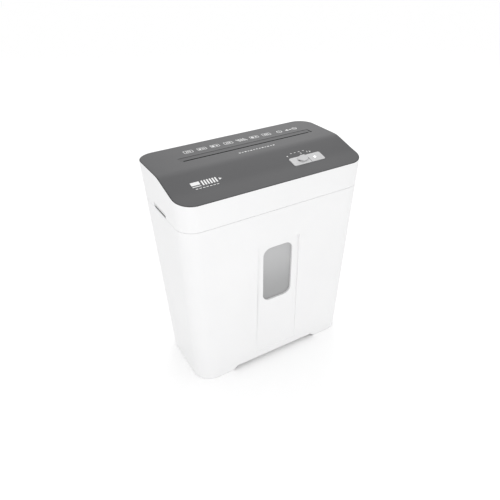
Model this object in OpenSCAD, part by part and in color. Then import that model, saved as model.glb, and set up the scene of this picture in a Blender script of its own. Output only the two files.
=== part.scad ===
// Small office paper shredder: a waste bin with a lift-off shredding head.
// Millimetres. X runs along the width, the front faces -Y, Z is up.
// The origin is the centre of the footprint, on the surface it stands on.

/* [Body] */
// Overall width at the top
top_w = 306; // [300:1:312]
// Overall depth at the top
top_d = 166; // [164:1:168]
// Width at the floor
base_w = 285; // [280:1:290]
// Depth at the floor
base_d = 136; // [132:1:140]
// Overall height
height = 350; // [350:0.5:351]
// Corner radius at the top
top_corner = 27; // [25:1:29]
// Corner radius at the floor
base_corner = 30; // [28:1:32]
// Height of the joint line between bin and head
seam_z = 292; // [291:0.5:293]
// Wall thickness of the moulded shells
wall = 2.5; // [2.2:0.1:2.6]

/* [Bin] */
// Height of the bin floor above the surface it stands on
floor_z = 8; // [7:0.5:9]
// Height of the arch between the skids
arch_h = 7.4; // [5:0.2:7.8]
// Half length of the arch at its top
arch_half = 75; // [60:1:85]
// Width of the recessed front panel
panel_w = 80; // [74:1:84]
// Lower end of the recessed front panel
panel_z0 = 20; // [18:1:24]
// Upper end of the recessed front panel
panel_z1 = 237; // [236:1:240]
// Width of the viewing window
window_w = 53; // [48:1:56]
// Lower edge of the viewing window
window_z0 = 130; // [126:1:134]
// Upper edge of the viewing window
window_z1 = 229.5; // [226:0.5:230]
// Corner radius of the viewing window
window_r = 11; // [8:1:12]

/* [Cover] */
// Steeper angle of the sloping control surface
slope_steep = 15.5; // [15:0.1:16]
// Angle at the front edge of the cover
slope_front = 10; // [9.5:0.1:11]
// Length over which the top bends into the slope
bend_len = 15; // [14:1:16]
// Distance in front of the centre where the slope starts to ease
ease_y = 44; // [43:1:45]
// Length over which the slope eases
ease_len = 16; // [15:1:17]
// Cover thickness
cover_t = 2.5; // [2.3:0.1:2.5]

/* [Paper path] */
// Length of the paper slot
slot_len = 220; // [220:0.5:221]
// Width of the paper slot
slot_w = 4.6; // [4.4:0.1:4.8]
// Sideways offset of the paper slot from the centre
slot_x = 11.5; // [11:0.5:12]
// Distance of the paper slot behind the centre
slot_y = 24.3; // [24:0.1:24.6]

/* [Cutters] */
// Outer radius of a cutting disc
disc_r = 15.5; // [15:0.1:15.6]
// Thickness of a cutting disc
disc_t = 4.6; // [4.4:0.1:4.6]
// Distance from one disc to the next on the same shaft
disc_pitch = 10; // [10:0.01:10.02]
// Number of discs on each shaft
disc_count = 22; // [20:1:22]
// Height of the cutter shafts
cutter_z = 300; // [300:0.1:300.4]
// Radius of the spacers between the discs
spacer_r = 8.5; // [8:0.1:8.6]
// Radius of the shaft journals
journal_r = 5; // [4.8:0.1:5]

/* [Motor] */
// Distance of the motor shaft in front of the centre
motor_y = 41; // [40.8:0.1:41.2]
// Height of the motor shaft
motor_z = 302; // [301.8:0.1:302.4]
// Radius of the motor can
motor_r = 24; // [23:0.5:24]
// Angle of the first gear above the motor pinion
train_angle = 30; // [29.5:0.1:31]

/* [Controls] */
// Half travel of the mode switch each way from its middle position
switch_travel = 6; // [5:0.5:6]

/* [Hidden] */
$fn = 64;

thin = 0.01;
beyond = 200;
past = 1;
seam_gap = 0.4;

// Bin details
ledge = 4;
ledge_h = 3.5;
panel_shallow = 0.5;
panel_deep = 3;
skin = 1;
surround = 5;
surround_rim = 7;
pane_rim = 5;
pane_t = 1.6;
window_mid = (window_z0 + window_z1) / 2;
window_h = window_z1 - window_z0;
arch_ramp = 11;

// Finger grips in the ends of the head
grip_y = [-21, 22];
grip_top = 301;
grip_deep = 8;
grip_wall = 1.6;

// Paper slot and the guide below it
slot_x0 = slot_x - slot_len / 2;
slot_x1 = slot_x + slot_len / 2;
slot_y0 = slot_y - slot_w / 2;
slot_y1 = slot_y + slot_w / 2;
trough_reach = 9.6;
trough_end = 5;
trough_deep = 2;
trough_shallow = 0.8;
land_x = 8;
land_front = 4;
land_back = 12;
land_drop = 1;
guide_top = 344;
guide_bottom = 318.5;
guide_wall = 2;

// Cutter block
shaft_gap = 27;
front_y = slot_y - shaft_gap / 2;
rear_y = slot_y + shaft_gap / 2;
disc_x0 = slot_x - slot_len / 2;
rear_shift = disc_pitch / 2;
hex_r = 7;
plate_t = 3;
left_plate_x = -106;
right_plate_x = 126;
block_x0 = left_plate_x + plate_t;
rod_r = 3;
rod_places = [
    [front_y - 16, cutter_z + 22], [rear_y + 16, cutter_z + 22],
    [front_y - 16, cutter_z - 21], [rear_y + 16, cutter_z - 21]
];
bushing_r = 7;
running = 0.05;
hex_x0 = block_x0 + 1.6;
hex_x1 = right_plate_x - 1.6;
shaft_end = 141;
front_gap_x = disc_x0 + disc_t + (disc_pitch - disc_t) / 2;
sync_x = [131, 140];

// Gear train: motor pinion, first gear, second gear, final gear on the front shaft
pressure = 25;
m1 = 1;
m2 = 1;
m3 = 1.25;
m4 = 1.5;
t_pinion = 10;
t_first = 44;
t_first_small = 12;
t_second = 42;
t_second_small = 12;
t_final = 36;
t_sync = 18;
layer1 = -114.2;
layer2 = -121.5;
layer3 = -131.5;
axle_r = 3;
motor_c = [-motor_y, motor_z];
front_c = [front_y, cutter_z];
rear_c = [rear_y, cutter_z];
reach1 = m1 * (t_pinion + t_first) / 2;
reach2 = m2 * (t_first_small + t_second) / 2;
reach3 = m3 * (t_second_small + t_final) / 2;
first_c = motor_c + reach1 * [cos(train_angle), sin(train_angle)];
span = norm(first_c - front_c);
along = (reach3 * reach3 - reach2 * reach2 + span * span) / (2 * span);
across = sqrt(reach3 * reach3 - along * along);
toward = (first_c - front_c) / span;
second_c = front_c + along * toward + across * [-toward[1], toward[0]];
gear_lid_x = layer3 - 2;
wall_thin = 1.8;
gear_room = 1.2;

// Motor and its fan
can_x = [block_x0, -43];
can_wall = 1.5;
cap_t = 5;
motor_shaft_r = 2.5;
magnet_r = 15.5;
armature_r = 14.6;
commutator_r = 7;
fan_x = [can_x[1] + cap_t + 3, can_x[1] + cap_t + 11];

// Chassis tub that hangs in the bin
tub_inset = 8;
tub_z0 = 260;
tub_floor = tub_z0 + wall;
flange_z0 = seam_z - wall;
outlet = [-99, 122, front_y - 13, rear_y + 13];
screw_r = 1.5;
head_r = 2.8;
head_h = 1.8;
housing_screw_places = [for (x = [-118, 0, 118], y = [-75, 75]) [x, y]];
cover_screw_places = [for (x = [-142, 142], y = [-55, 60]) [x, y]];
tab_z = 322;
tab_t = 3;
boss_r = 4;
boss_top = 312;
foot = [10, 12, 3];
block_screw_places = [
    [left_plate_x - 5, -56], [left_plate_x - 5, 50],
    [right_plate_x + plate_t + 5, front_y - 8], [right_plate_x + plate_t + 5, 50]
];
motor_screw_places = [for (a = [0, 180]) motor_c + 16 * [cos(a), sin(a)]];
gearbox_screw_places = [
    [-motor_y - 6.5, motor_z + 16], [-motor_y - 2.5, motor_z - 25],
    [front_c[0] + 27, front_c[1] + 14], [front_c[0] + 27, front_c[1] - 14]
];

// Control area on the slope
switch_c = [69, -45];
switch_tilt = 14.5;
bezel_w = 55;
bezel_d = 18.8;
bezel_t = 1.6;
bezel_proud = 0.4;
pocket_deep = bezel_t - bezel_proud;
knob_x = -6;
lens_x = 14;
board_z = 321;
board_t = 1.6;
board_box = [36, 104, -68, -22];
board_top = board_z + board_t;
board_hole_r = 1.2;
board_posts = [for (x = [40, 100], y = [-64, -26]) [x, y]];

// Bin interlock
plunger_c = [60, 75.4];
plunger_r = 1.5;

// Paper sensor lever
lever_c = [33, 333];
lever_tip = [23.8, 322.6];
lever_x = slot_x;

// Cord entry in the rear wall
gland_x = 96;
gland_z = 305;
gland_bore = 3.6;
gland_r = 7;
gland_flange_r = 9;

// Half width, half depth and corner radius of the tapered body at a height
function half_w(z) = (base_w + (top_w - base_w) * z / height) / 2;
function half_d(z) = (base_d + (top_d - base_d) * z / height) / 2;
function corner_at(z) = base_corner + (top_corner - base_corner) * z / height;

// Side profile of the top, from the rear to the front: flat, a bend, a slope and an easing curve
bend_r = bend_len / sin(slope_steep);
ease_r = ease_len / (sin(slope_steep) - sin(slope_front));
bend_end = height - bend_r * (1 - cos(slope_steep));
slope_end = bend_end - (ease_y - bend_len) * tan(slope_steep);
ease_end = slope_end - ease_r * (cos(slope_front) - cos(slope_steep));
front_reach = 90;
front_end = ease_end - (front_reach - ease_y - ease_len) * tan(slope_front);
bend_steps = 6;
top_profile = concat(
    [[front_reach, height]],
    [for (i = [0:bend_steps]) let (a = slope_steep * i / bend_steps)
        [-bend_r * sin(a), height - bend_r * (1 - cos(a))]],
    [for (i = [0:bend_steps]) let (a = slope_steep + (slope_front - slope_steep) * i / bend_steps)
        [-ease_y - ease_r * (sin(slope_steep) - sin(a)),
         slope_end - ease_r * (cos(a) - cos(slope_steep))]],
    [[-front_reach, front_end]]
);

// Height of the top surface at a depth y
function top_z(y) =
    y >= 0 ? height :
    y >= -bend_len ? height - bend_r + sqrt(bend_r * bend_r - y * y) :
    y >= -ease_y ? bend_end + (y + bend_len) * tan(slope_steep) :
    slope_end + (y + ease_y) * tan((slope_steep + slope_front) / 2);

function reversed(list) = [for (i = [len(list) - 1:-1:0]) list[i]];
function lowered(list, d) = [for (p = list) [p[0], p[1] - d]];

// Extrude a shape drawn in Y and Z along X
module along_x(x0, x1) {
    translate([x0, 0, 0])
        rotate([90, 0, 90])
            linear_extrude(x1 - x0)
                children();
}

// Extrude a shape drawn in X and Z along Y
module along_y(y0, y1) {
    translate([0, y1, 0])
        rotate([90, 0, 0])
            linear_extrude(y1 - y0)
                children();
}

module box(x, y, z) {
    translate([x[0], y[0], z[0]])
        cube([x[1] - x[0], y[1] - y[0], z[1] - z[0]]);
}

module rod_x(x0, x1, c, r) {
    translate([x0, c[0], c[1]])
        rotate([0, 90, 0])
            cylinder(h = x1 - x0, r = r);
}

module post(c, z0, z1, r) {
    translate([c[0], c[1], z0])
        cylinder(h = z1 - z0, r = r);
}

module rounded_rect(w, d, r) {
    square([w - 2 * r, d], center = true);
    square([w, d - 2 * r], center = true);
    for (x = [-1, 1], y = [-1, 1])
        translate([x * (w / 2 - r), y * (d / 2 - r)])
            circle(r = r);
}

// Plan outline of the body at a height, moved inwards by an inset
module outline(z, inset) {
    rounded_rect(2 * (half_w(z) - inset), 2 * (half_d(z) - inset), corner_at(z) - inset);
}

// Tapered solid of the body between two heights
module body_block(z0, z1, inset) {
    hull() {
        translate([0, 0, z0])
            linear_extrude(thin)
                outline(z0, inset, $fn = 48);
        translate([0, 0, z1 - thin])
            linear_extrude(thin)
                outline(z1, inset, $fn = 48);
    }
}

// Everything below the top surface lowered by a distance
module below_top(d) {
    along_x(-beyond, beyond)
        polygon(concat(lowered(top_profile, d), [[-front_reach, 200], [front_reach, 200]]));
}

module switch_frame() {
    translate([switch_c[0], switch_c[1], top_z(switch_c[1])])
        rotate([switch_tilt, 0, 0])
            children();
}

// Screw with a round head, pointing along +Z from the underside of its head
module screw(length, r, r_head, h_head) {
    translate([0, 0, -h_head])
        cylinder(h = h_head, r = r_head);
    cylinder(h = length, r = r);
}

// Involute spur gear, drawn with one tooth on the +X side
function involute(a) = tan(a) * 180 / PI - a;
function tooth_half(m, z, r) =
    let (base = m * z * cos(pressure) / 2)
    90 / z - 4 / z + involute(pressure) - involute(acos(min(1, base / r)));

module gear_shape(m, z) {
    pitch_r = m * z / 2;
    radii = [pitch_r - 1.2 * m, pitch_r, pitch_r + 0.9 * m];
    polygon([
        for (t = [0:z - 1], side = [-1, 1], i = [0:2])
            let (k = side < 0 ? i : 2 - i)
            let (a = t * 360 / z + side * tooth_half(m, z, radii[k]))
            radii[k] * [cos(a), sin(a)]
    ]);
}

// Direction from one centre to another in the plane of the gears
function bearing(from, to) = atan2(to[1] - from[1], to[0] - from[0]);

// Gear across X with a tooth, or a gap, facing a direction
module gear_x(x0, x1, c, m, z, facing, gap) {
    translate([0, c[0], c[1]])
        along_x(x0, x1)
            rotate(facing + (gap ? 180 / z : 0))
                gear_shape(m, z);
}

module ring_x(x0, x1, c, r_out, r_in) {
    difference() {
        rod_x(x0, x1, c, r_out);
        rod_x(x0 - 1, x1 + 1, c, r_in);
    }
}

// ---------------------------------------------------------------- bin

// Upright slab behind the front wall, between two depths from the front face
module front_slab(z0, z1, depth0, depth1) {
    polygon([
        [-half_d(z0) + depth0[0], z0], [-half_d(z1) + depth1[0], z1],
        [-half_d(z1) + depth1[1], z1], [-half_d(z0) + depth0[1], z0]
    ]);
}

module window_outline(grow) {
    translate([0, window_mid])
        rounded_rect(window_w + 2 * grow, window_h + 2 * grow, window_r + grow);
}

module bin_shell() {
    color("white")
    difference() {
        union() {
            difference() {
                body_block(0, seam_z, 0);
                body_block(floor_z + wall, seam_z + thin, wall);
                body_block(-thin, floor_z, wall);
            }
            // ledge that the head sits on
            difference() {
                body_block(flange_z0 - ledge_h, flange_z0, wall - seam_gap / 4);
                body_block(flange_z0 - ledge_h - past, flange_z0 + past, wall + ledge);
            }
            // back of the recessed panel
            along_x(-panel_w / 2 - wall, panel_w / 2 + wall)
                front_slab(panel_z0 - wall, panel_z1 + wall,
                    [skin, panel_shallow + wall], [skin, panel_deep + wall]);
            // thick surround that holds the window
            intersection() {
                along_y(-beyond, 0)
                    window_outline(surround_rim);
                along_x(-beyond, beyond)
                    front_slab(panel_z0, panel_z1,
                        [skin, panel_shallow + surround], [skin, panel_deep + surround]);
            }
        }
        // recessed panel, deepest at the top
        along_x(-panel_w / 2, panel_w / 2)
            front_slab(panel_z0, panel_z1, [-past, panel_shallow], [-past, panel_deep]);
        along_y(-beyond, 0)
            window_outline(0);
        // arches between the skids at the front and the back
        along_y(-beyond, beyond)
            polygon([
                [-arch_half - arch_ramp, -past], [-arch_half - arch_ramp, 0],
                [-arch_half, arch_h], [arch_half, arch_h],
                [arch_half + arch_ramp, 0], [arch_half + arch_ramp, -past]
            ]);
    }
}

module window_pane() {
    color("lightgray", 0.6)
    intersection() {
        along_y(-beyond, 0)
            window_outline(pane_rim);
        along_x(-beyond, beyond)
            front_slab(panel_z0, panel_z1,
                [panel_shallow + surround, panel_shallow + surround + pane_t],
                [panel_deep + surround, panel_deep + surround + pane_t]);
    }
}

// ---------------------------------------------------------------- head shells

module grip_hollow(side, grow) {
    x = half_w(seam_z);
    mirror([side < 0 ? 1 : 0, 0, 0])
        box([x - grip_deep - grow, x + grip_deep], [grip_y[0] - grow, grip_y[1] + grow],
            [seam_z - 2, grip_top + grow]);
}

module head_housing() {
    color("white")
    difference() {
        union() {
            intersection() {
                difference() {
                    body_block(seam_z + seam_gap, height, 0);
                    body_block(seam_z + seam_gap - thin, height + thin, wall);
                }
                below_top(cover_t + 0.1);
            }
            // closed pockets behind the finger grips
            intersection() {
                body_block(seam_z + seam_gap, grip_top + 3, 1);
                union() {
                    grip_hollow(-1, grip_wall);
                    grip_hollow(1, grip_wall);
                }
            }
            for (p = housing_screw_places)
                post(p, seam_z + seam_gap, boss_top, boss_r);
            // tabs that the cover is screwed to
            for (p = cover_screw_places)
                box([p[0] > 0 ? 136 : -150.5, p[0] > 0 ? 150.5 : -136],
                    [p[1] - 6, p[1] + 6], [tab_z, tab_z + tab_t]);
        }
        grip_hollow(-1, 0);
        grip_hollow(1, 0);
        for (p = housing_screw_places)
            post(p, seam_z, boss_top - boss_r, screw_r);
        for (p = cover_screw_places)
            post(p, tab_z - past, tab_z + tab_t + past, screw_r);
        // round hole for the cord gland
        translate([gland_x, 0, gland_z])
            rotate([-90, 0, 0])
                cylinder(h = front_reach, r = gland_r);
    }
}

// Sloping trough that leads the sheet into the slot, drawn in Y and Z
module trough_shape() {
    polygon([
        [slot_y0, height - trough_deep], [slot_y1, height - trough_deep],
        [slot_y1 + trough_reach, height - trough_shallow],
        [slot_y1 + trough_reach, height + past], [slot_y0, height + past]
    ]);
}

module top_cover() {
    color("dimgray")
    difference() {
        union() {
            intersection() {
                body_block(320, height + thin, 0.4);
                along_x(-beyond, beyond)
                    polygon(concat(top_profile, reversed(lowered(top_profile, cover_t))));
            }
            // thick land around the paper slot
            box([slot_x0 - land_x, slot_x1 + land_x], [slot_y0 - land_front, slot_y1 + land_back],
                [guide_top, height - land_drop]);
            // bosses for the cover screws
            for (p = cover_screw_places)
                post(p, tab_z + tab_t, top_z(p[1]) - cover_t / 2, boss_r);
            // posts that carry the circuit board
            for (p = board_posts)
                post(p, board_top, top_z(p[1]) - cover_t / 2, 3);
        }
        along_x(slot_x0 - trough_end, slot_x1 + trough_end)
            trough_shape();
        box([slot_x0, slot_x1], [slot_y0, slot_y1], [guide_top - past, height + past]);
        for (p = cover_screw_places)
            post(p, tab_z, tab_z + 12, screw_r);
        for (p = board_posts)
            post(p, board_z, board_top + 7, board_hole_r);
        // pocket for the switch bezel, with holes for the knob and the lens
        switch_frame() {
            translate([0, 0, -pocket_deep])
                linear_extrude(10)
                    rounded_rect(bezel_w + 0.6, bezel_d + 0.6, 2.8);
            translate([knob_x, 0, -6])
                linear_extrude(10)
                    square([20.6, 4.6], center = true);
            translate([lens_x, 0, -6])
                cylinder(h = 10, r = 2.3);
        }
    }
}

module lower_chassis() {
    color("gray")
    difference() {
        union() {
            translate([0, 0, flange_z0])
                linear_extrude(wall)
                    outline(seam_z, wall + 0.5);
            body_block(tub_z0, flange_z0 + 0.1, tub_inset);
            // posts that hold the bin switch
            for (x = [-8.5, 8.5])
                translate([plunger_c[0] + x, plunger_c[1] - 1.4, seam_z])
                    linear_extrude(8.2)
                        square([3, 4.4], center = true);
        }
        body_block(tub_floor, seam_z + 1, tub_inset + wall);
        box([outlet[0], outlet[1]], [outlet[2], outlet[3]], [tub_z0 - 1, tub_floor + 1]);
        for (p = housing_screw_places) {
            post(p, flange_z0 - 1, flange_z0 + head_h, head_r);
            post(p, flange_z0, seam_z + 1, screw_r);
        }
        post(plunger_c, flange_z0 - 1, seam_z + 1, plunger_r + running);
        for (p = block_screw_places)
            post(p, tub_z0 - 1, tub_floor + 1, screw_r);
    }
}

// Short skirt below the outlet that keeps fingers away from the cutters
module shred_chute() {
    skirt = 10;
    color("dimgray")
    difference() {
        box([outlet[0] - 2, outlet[1] + 2], [outlet[2] - 2, outlet[3] + 2],
            [tub_z0 - skirt, tub_z0]);
        box([outlet[0], outlet[1]], [outlet[2], outlet[3]], [tub_z0 - skirt - 1, tub_z0 + 1]);
    }
}

module paper_guide() {
    ear = 2.5;
    ear_gap = 8;
    color("dimgray")
    difference() {
        union() {
            box([slot_x0 - guide_wall, slot_x1 + guide_wall],
                [slot_y0 - guide_wall, slot_y1 + guide_wall], [guide_bottom, guide_top]);
            // ears for the lever pin
            for (x = [-ear_gap / 2 - ear, ear_gap / 2])
                along_x(lever_x + x, lever_x + x + ear)
                    polygon([[slot_y1 + 1, 326], [lever_c[0] + 3.5, 329],
                        [lever_c[0] + 3.5, 337], [slot_y1 + 1, 340]]);
            // shelf for the sensor switch
            box([lever_x - 10, lever_x - ear_gap / 2], [slot_y1 + 1, 47], [322, 324]);
            box([lever_x + ear_gap / 2, lever_x + 10], [slot_y1 + 1, 47], [322, 324]);
            box([lever_x - 10, lever_x + 10], [41, 47], [322, 324]);
        }
        box([slot_x0, slot_x1], [slot_y0, slot_y1], [guide_bottom - 1, guide_top + 1]);
        // opening that the lever swings through
        box([lever_x - ear_gap / 2, lever_x + ear_gap / 2], [slot_y0 + 1, 40],
            [guide_bottom - 1, 337.5]);
        rod_x(lever_x - 10, lever_x + 10, lever_c, plunger_r);
    }
}

// ---------------------------------------------------------------- cutter block

module foot_with_hole(p, x0) {
    difference() {
        box([x0, x0 + foot[0]], [p[1] - foot[1] / 2, p[1] + foot[1] / 2],
            [tub_floor, tub_floor + foot[2]]);
        post(p, tub_floor - 1, tub_floor + foot[2] + 1, screw_r);
    }
}

module gear_plate() {
    color("silver")
    difference() {
        union() {
            box([left_plate_x, block_x0], [-66, 57], [tub_floor, 330]);
            foot_with_hole(block_screw_places[0], left_plate_x - foot[0]);
            foot_with_hole(block_screw_places[1], left_plate_x - foot[0]);
        }
        for (c = [front_c, rear_c])
            rod_x(left_plate_x - 1, block_x0 + 1, c, bushing_r);
        rod_x(left_plate_x - past, block_x0 + past, motor_c, bushing_r);
        for (c = [first_c, second_c])
            rod_x(left_plate_x - 1, block_x0 + 1, c, axle_r);
        for (c = concat(rod_places, motor_screw_places, gearbox_screw_places))
            rod_x(left_plate_x - 1, block_x0 + 1, c, screw_r);
    }
}

module end_plate() {
    color("silver")
    difference() {
        union() {
            box([right_plate_x, right_plate_x + plate_t], [front_y - 20, 58], [tub_floor, 328]);
            foot_with_hole(block_screw_places[2], right_plate_x + plate_t);
            foot_with_hole(block_screw_places[3], right_plate_x + plate_t);
        }
        for (c = [front_c, rear_c])
            rod_x(right_plate_x - 1, right_plate_x + plate_t + 1, c, bushing_r);
        for (c = rod_places)
            rod_x(right_plate_x - 1, right_plate_x + plate_t + 1, c, screw_r);
    }
}

module tie_rods() {
    deep = 10;
    color("silver")
    for (c = rod_places)
        difference() {
            rod_x(block_x0, right_plate_x, c, rod_r);
            rod_x(block_x0 - 1, block_x0 + deep, c, screw_r);
            rod_x(right_plate_x - deep, right_plate_x + 1, c, screw_r);
        }
}

module plate_screws() {
    grip = plate_t + 9;
    color("darkgray")
    for (c = rod_places) {
        translate([left_plate_x, c[0], c[1]])
            rotate([0, 90, 0])
                screw(grip, screw_r, head_r, head_h);
        translate([right_plate_x + plate_t, c[0], c[1]])
            rotate([0, -90, 0])
                screw(grip, screw_r, head_r, head_h);
    }
}

// Comb whose fingers reach between the discs of one shaft and clean its spacers
module stripper(c, first_gap, side) {
    bar = 4;
    bar_y = c[0] - side * 21;
    finger_t = 4.4;
    color("gainsboro")
    difference() {
        union() {
            box([block_x0, right_plate_x], [min(bar_y, bar_y + side * bar),
                max(bar_y, bar_y + side * bar)], [cutter_z - 9, cutter_z + 9]);
            for (i = [0:disc_count - 2])
                translate([first_gap + i * disc_pitch, 0, 0])
                    box([-finger_t / 2, finger_t / 2],
                        [min(bar_y, c[0] - side), max(bar_y, c[0] - side)],
                        [cutter_z - 13, cutter_z + 13]);
        }
        rod_x(block_x0 - 1, right_plate_x + 1, c, spacer_r + 0.6);
    }
}

module front_stripper() {
    stripper(front_c, front_gap_x, 1);
}

module rear_stripper() {
    stripper(rear_c, front_gap_x + rear_shift, -1);
}

module shaft_bushings() {
    flange = 1.2;
    color("goldenrod")
    for (c = [front_c, rear_c]) {
        difference() {
            union() {
                rod_x(left_plate_x, block_x0, c, bushing_r);
                rod_x(block_x0, block_x0 + flange, c, bushing_r + 2);
            }
            rod_x(left_plate_x - 1, block_x0 + flange + 1, c, journal_r + running);
        }
        difference() {
            union() {
                rod_x(right_plate_x, right_plate_x + plate_t, c, bushing_r);
                rod_x(right_plate_x - flange, right_plate_x, c, bushing_r + 2);
            }
            rod_x(right_plate_x - flange - 1, right_plate_x + plate_t + 1, c, journal_r + running);
        }
    }
}

// Hexagonal shaft with round journals at both ends
module cutter_shaft(c, left_end, right_end) {
    color("slategray")
    union() {
        translate([hex_x0, c[0], c[1]])
            rotate([0, 90, 0])
                cylinder(h = hex_x1 - hex_x0, r = hex_r, $fn = 6);
        rod_x(left_end, hex_x0 + 1, c, journal_r);
        rod_x(hex_x1 - 1, right_end, c, journal_r);
    }
}

module front_cutter_shaft() {
    cutter_shaft(front_c, layer3 - 1, shaft_end);
}

module rear_cutter_shaft() {
    cutter_shaft(rear_c, left_plate_x - 1.5, shaft_end);
}

// Cutting discs with nicks that cross-cut the strips, turned a little from disc to disc
module cutter_discs(c, x_first) {
    nick = 2.6;
    nicks = 3;
    twist = 25;
    color("dimgray")
    for (i = [0:disc_count - 1])
        translate([x_first + i * disc_pitch, c[0], c[1]])
            rotate([0, 90, 0])
                difference() {
                    cylinder(h = disc_t, r = disc_r);
                    translate([0, 0, -1])
                        cylinder(h = disc_t + 2, r = hex_r, $fn = 6);
                    for (k = [0:nicks - 1])
                        rotate(k * 360 / nicks + i * twist)
                            translate([disc_r, 0, disc_t / 2])
                                cube([2 * nick, nick, disc_t + 2], center = true);
                }
}

module spacers(c, x_first) {
    color("gray")
    for (i = [0:disc_count - 2])
        translate([x_first + i * disc_pitch + disc_t, c[0], c[1]])
            rotate([0, 90, 0])
                difference() {
                    cylinder(h = disc_pitch - disc_t, r = spacer_r);
                    translate([0, 0, -1])
                        cylinder(h = disc_pitch - disc_t + 2, r = hex_r, $fn = 6);
                }
}

module front_cutter_discs() {
    cutter_discs(front_c, disc_x0);
}

module rear_cutter_discs() {
    cutter_discs(rear_c, disc_x0 + rear_shift);
}

module front_spacers() {
    spacers(front_c, disc_x0);
}

module rear_spacers() {
    spacers(rear_c, disc_x0 + rear_shift);
}

// ---------------------------------------------------------------- gears

module final_gear() {
    color("ivory")
    difference() {
        gear_x(layer3, layer3 + 9, front_c, m3, t_final, bearing(front_c, second_c), true);
        rod_x(layer3 - 1, layer3 + 10, front_c, journal_r);
    }
}

module second_gear() {
    color("ivory")
    difference() {
        union() {
            gear_x(layer2, layer2 + 7, second_c, m2, t_second, bearing(second_c, first_c), true);
            gear_x(layer3, layer2, second_c, m3, t_second_small, bearing(second_c, front_c), false);
        }
        rod_x(layer3 - 1, layer2 + 8, second_c, axle_r + running);
    }
}

module first_gear() {
    color("ivory")
    difference() {
        union() {
            gear_x(layer1, layer1 + 6, first_c, m1, t_first, bearing(first_c, motor_c), true);
            gear_x(layer2, layer1, first_c, m2, t_first_small, bearing(first_c, second_c), false);
        }
        rod_x(layer2 - 1, layer1 + 7, first_c, axle_r + running);
    }
}

module motor_pinion() {
    color("silver")
    difference() {
        gear_x(layer1, layer1 + 6, motor_c, m1, t_pinion, bearing(motor_c, first_c), false);
        rod_x(layer1 - past, layer1 + 7, motor_c, motor_shaft_r);
    }
}

module sync_gear(c, facing, gap) {
    color("slategray")
    difference() {
        gear_x(sync_x[0], sync_x[1], c, m4, t_sync, facing, gap);
        rod_x(sync_x[0] - 1, sync_x[1] + 1, c, journal_r);
    }
}

module front_sync_gear() {
    sync_gear(front_c, 0, false);
}

module rear_sync_gear() {
    sync_gear(rear_c, 180, true);
}

module gear_axles() {
    color("silver")
    for (c = [first_c, second_c])
        rod_x(gear_lid_x - wall_thin, block_x0, c, axle_r);
}

// Plan of the gearbox: a lobe round each large gear and round the motor pinion
module gearbox_plan(grow) {
    for (g = [[first_c, m1 * t_first / 2], [second_c, m2 * t_second / 2],
            [front_c, m3 * t_final / 2], [motor_c, m1 * t_pinion / 2]])
        translate(g[0])
            circle(r = g[1] + 1.2 + gear_room + grow);
}

module gearbox_cover() {
    color("gray")
    difference() {
        union() {
            along_x(gear_lid_x - wall_thin, left_plate_x)
                gearbox_plan(wall_thin);
            for (c = gearbox_screw_places)
                rod_x(left_plate_x - 8, left_plate_x, c, 5);
        }
        along_x(gear_lid_x, left_plate_x + 1)
            gearbox_plan(0);
        for (c = [first_c, second_c])
            rod_x(gear_lid_x - wall_thin - 1, gear_lid_x + 1, c, axle_r);
        for (c = gearbox_screw_places)
            rod_x(left_plate_x - 9, left_plate_x + 1, c, screw_r);
        // room for the end of the rear shaft
        rod_x(left_plate_x - 3, left_plate_x + 1, rear_c, journal_r + 1);
    }
}

module gearbox_screws() {
    color("darkgray")
    for (c = gearbox_screw_places)
        translate([left_plate_x - 8, c[0], c[1]])
            rotate([0, 90, 0])
                screw(8 + plate_t, screw_r, head_r, head_h);
}

// ---------------------------------------------------------------- motor

module motor_can() {
    color("darkgray")
    difference() {
        rod_x(can_x[0], can_x[1], motor_c, motor_r);
        rod_x(can_x[0] + can_wall, can_x[1] + 1, motor_c, motor_r - can_wall);
        rod_x(can_x[0] - 1, can_x[0] + 5, motor_c, journal_r);
        for (c = motor_screw_places)
            rod_x(can_x[0] - 1, can_x[0] + 5, c, screw_r);
    }
}

module motor_end_cap() {
    color("black")
    ring_x(can_x[1], can_x[1] + cap_t, motor_c, motor_r, journal_r);
}

module motor_bushes() {
    color("goldenrod") {
        ring_x(can_x[0], can_x[0] + 4, motor_c, journal_r, motor_shaft_r + running);
        ring_x(can_x[1], can_x[1] + cap_t, motor_c, journal_r, motor_shaft_r + running);
    }
}

module motor_magnets() {
    color("dimgray")
    intersection() {
        ring_x(can_x[0] + 9, can_x[1] - 9, motor_c, motor_r - can_wall, magnet_r);
        union() {
            box([can_x[0], can_x[1]], [-motor_y - 18, -motor_y + 18], [motor_z + 7, motor_z + 30]);
            box([can_x[0], can_x[1]], [-motor_y - 18, -motor_y + 18], [motor_z - 30, motor_z - 7]);
        }
    }
}

module motor_armature() {
    color("peru")
    difference() {
        union() {
            rod_x(can_x[0] + 9, can_x[1] - 12, motor_c, armature_r);
            rod_x(can_x[1] - 12, can_x[1] - 2, motor_c, commutator_r);
        }
        rod_x(can_x[0], can_x[1], motor_c, motor_shaft_r);
    }
}

module motor_shaft() {
    color("silver")
    rod_x(layer1 - 1, fan_x[1] + 1, motor_c, motor_shaft_r);
}

// Cooling fan: a hub, a back disc and straight blades
module motor_fan() {
    fan_r = 19;
    blades = 10;
    color("white")
    difference() {
        union() {
            rod_x(fan_x[0], fan_x[1], motor_c, 5.5);
            rod_x(fan_x[0], fan_x[0] + 1.5, motor_c, fan_r);
            for (k = [0:blades - 1])
                translate([fan_x[0], motor_c[0], motor_c[1]])
                    rotate([k * 360 / blades, 0, 0])
                        translate([0, 4, -0.6])
                            cube([fan_x[1] - fan_x[0], fan_r - 4.5, 1.2]);
        }
        rod_x(fan_x[0] - 1, fan_x[1] + 1, motor_c, motor_shaft_r);
    }
}

module motor_screws() {
    color("darkgray")
    for (c = motor_screw_places)
        translate([left_plate_x, c[0], c[1]])
            rotate([0, 90, 0])
                screw(plate_t + 4, screw_r, head_r, head_h);
}

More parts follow.
